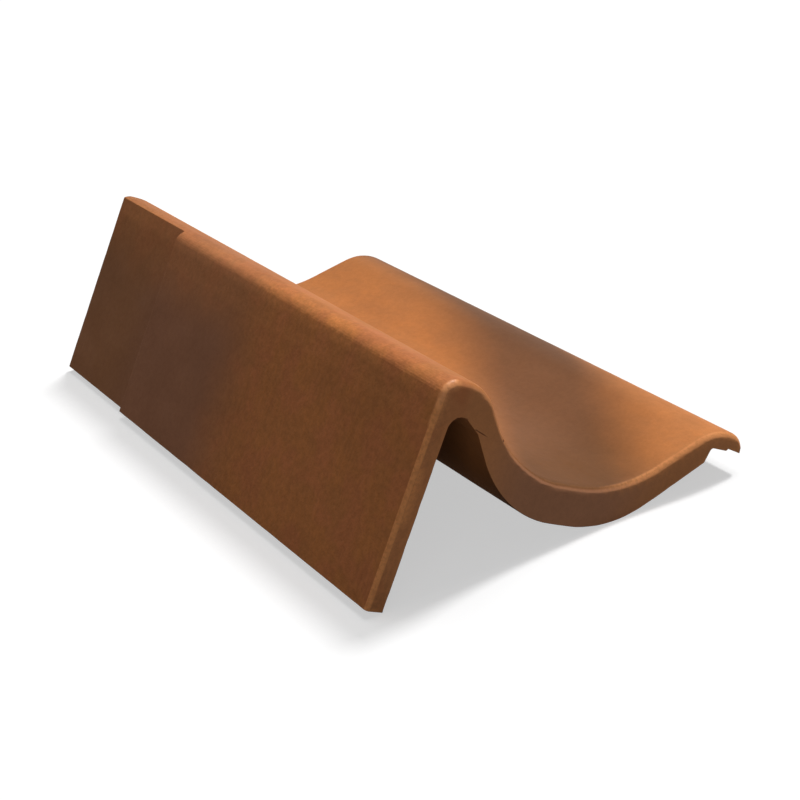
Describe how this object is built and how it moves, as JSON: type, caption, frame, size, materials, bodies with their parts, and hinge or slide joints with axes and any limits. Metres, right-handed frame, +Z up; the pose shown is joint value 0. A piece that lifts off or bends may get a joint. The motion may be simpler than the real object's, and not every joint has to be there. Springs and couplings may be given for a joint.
{
  "type": "verge tile",
  "caption": "Left-hand cloaked verge roof tile in fired clay: a deep flat skirt, a rounded fold, a wide trough and a right-hand roll with an underlock.",
  "frame": {"origin": "on the floor under the middle of the tile's box, as it lies unheld on its skirt's bottom edge and its trough's underside", "axes": "+Y along the tile from the eaves end to the head, +X across it from the skirt to the roll, +Z up; on the roof the tile is turned back by 25.3 degrees about Y"},
  "size_m": [0.2878, 0.42, 0.1254],
  "materials": {
    "fired_clay": "fine sanded unglazed terracotta, semi-matte"
  },
  "bodies": {
    "root": {"verge_tile": "fired_clay"}
  },
  "joints": []
}
